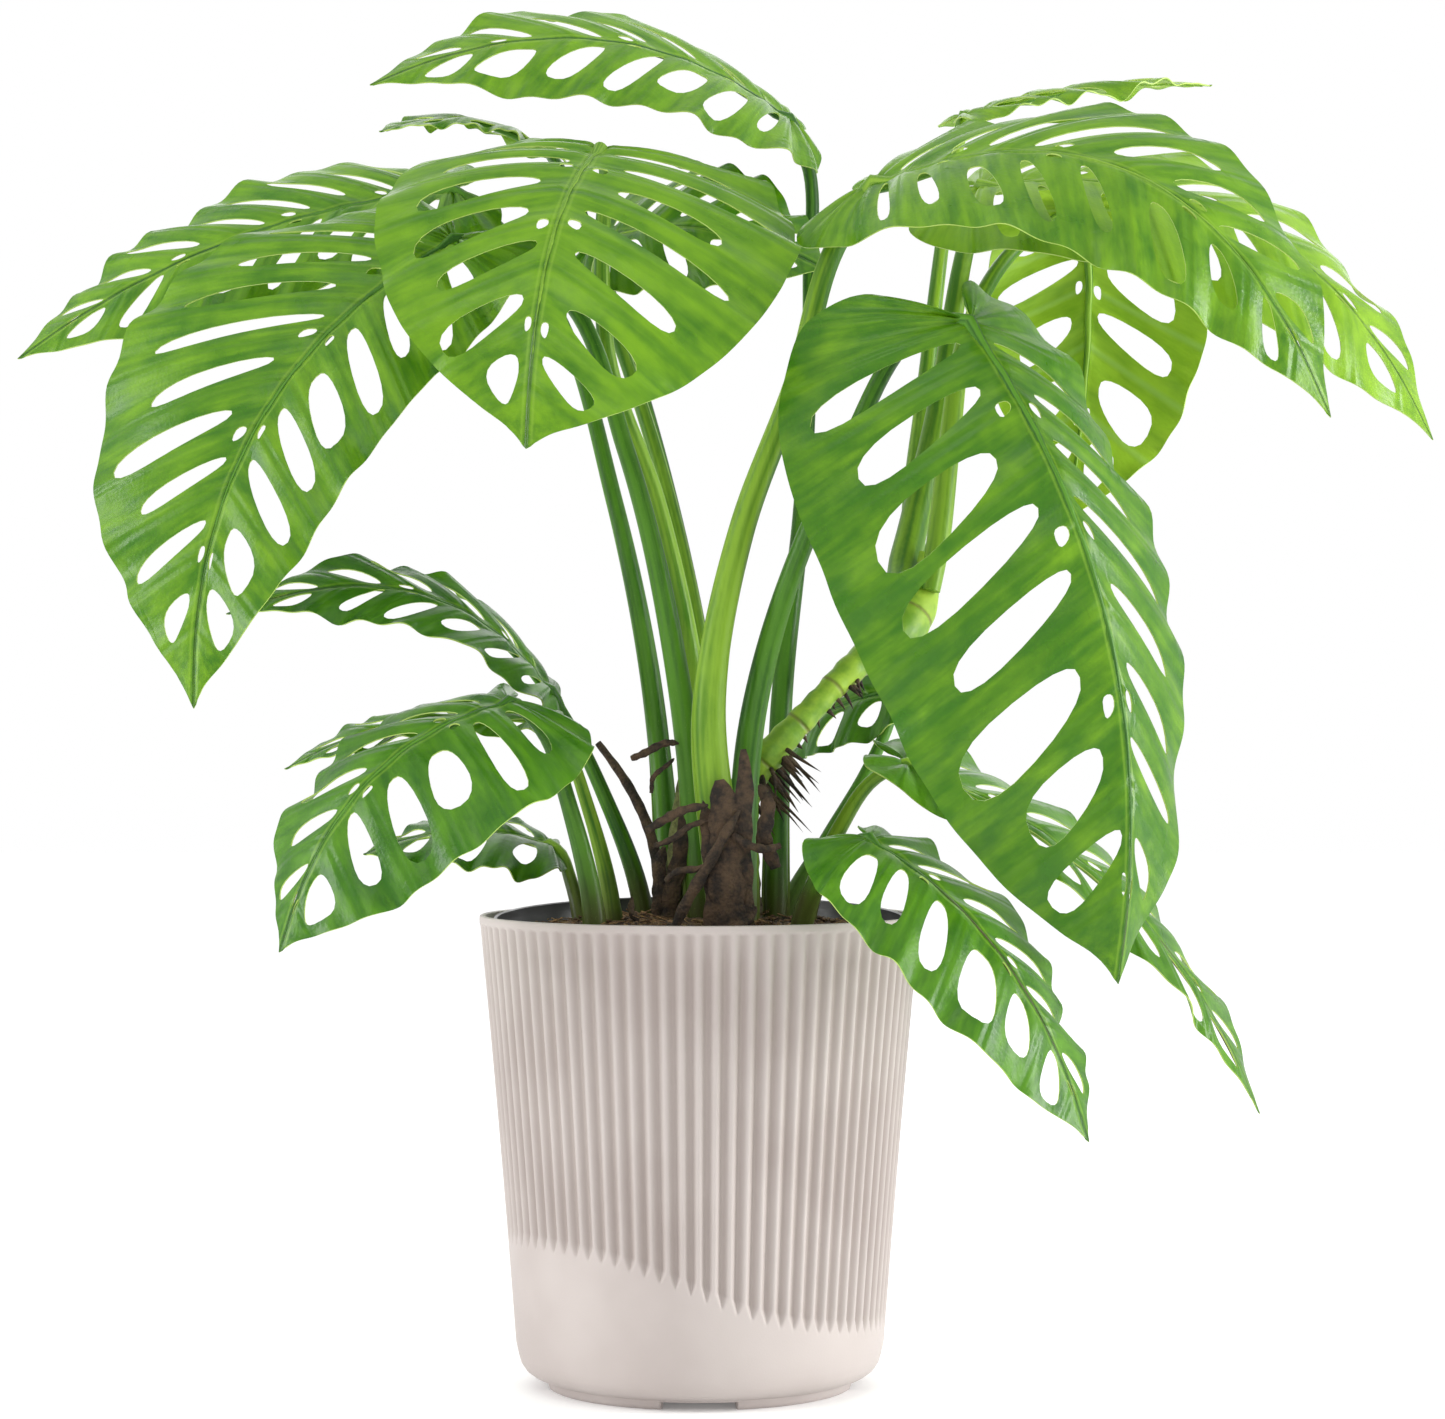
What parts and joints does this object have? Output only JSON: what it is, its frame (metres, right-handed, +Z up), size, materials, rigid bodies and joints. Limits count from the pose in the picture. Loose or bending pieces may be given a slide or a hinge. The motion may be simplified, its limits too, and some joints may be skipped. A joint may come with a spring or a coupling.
{
  "type": "potted swiss cheese plant",
  "caption": "Potted swiss cheese plant: holed, heart-shaped leaves on long stalks rise from soil in a nursery pot inside a pale, finely ribbed round cover pot.",
  "frame": {"origin": "centre of the underside of the cover pot, on the surface it stands on", "axes": "+Z up along the pot's axis, -Y towards the side with the large drooping front leaf, +X to the right seen from there"},
  "size_m": [0.5855, 0.2926, 0.5685],
  "materials": {
    "pot": "pale pinkish grey, matte, fine upright ribs",
    "liner": "black, slightly shiny thin plastic",
    "soil": "dark bark and peat potting mix",
    "leaf": "fresh green, satin upper side, paler underside",
    "stalk": "smooth light green",
    "stem": "grey-brown green, ringed and rough"
  },
  "bodies": {
    "root": {"cover_pot": "pot", "nursery_pot": "liner", "soil": "soil", "left_stem": "stem", "right_stem": "stem", "dried_stalk": "stem", "stalk_front_right": "stalk", "stalk_left_large": "stalk", "stalk_centre": "stalk", "stalk_back_centre": "stalk", "stalk_far_left": "stalk", "stalk_top": "stalk", "stalk_top_small": "stalk", "stalk_right_top": "stalk", "stalk_far_right": "stalk", "stalk_right_back": "stalk", "stalk_back_right": "stalk", "stalk_left_mid": "stalk", "stalk_left_low": "stalk", "stalk_left_inner": "stalk", "stalk_left_bottom": "stalk", "stalk_rim": "stalk", "stalk_right_low": "stalk", "stalk_back_low": "stalk", "blade_front_right": "leaf", "blade_left_large": "leaf", "blade_centre": "leaf", "blade_back_centre": "leaf", "blade_far_left": "leaf", "blade_top": "leaf", "blade_top_small": "leaf", "blade_right_top": "leaf", "blade_far_right": "leaf", "blade_right_back": "leaf", "blade_back_right": "leaf", "blade_left_mid": "leaf", "blade_left_low": "leaf", "blade_left_inner": "leaf", "blade_left_bottom": "leaf", "blade_rim": "leaf", "blade_right_low": "leaf", "blade_back_low": "leaf"}
  },
  "joints": []
}
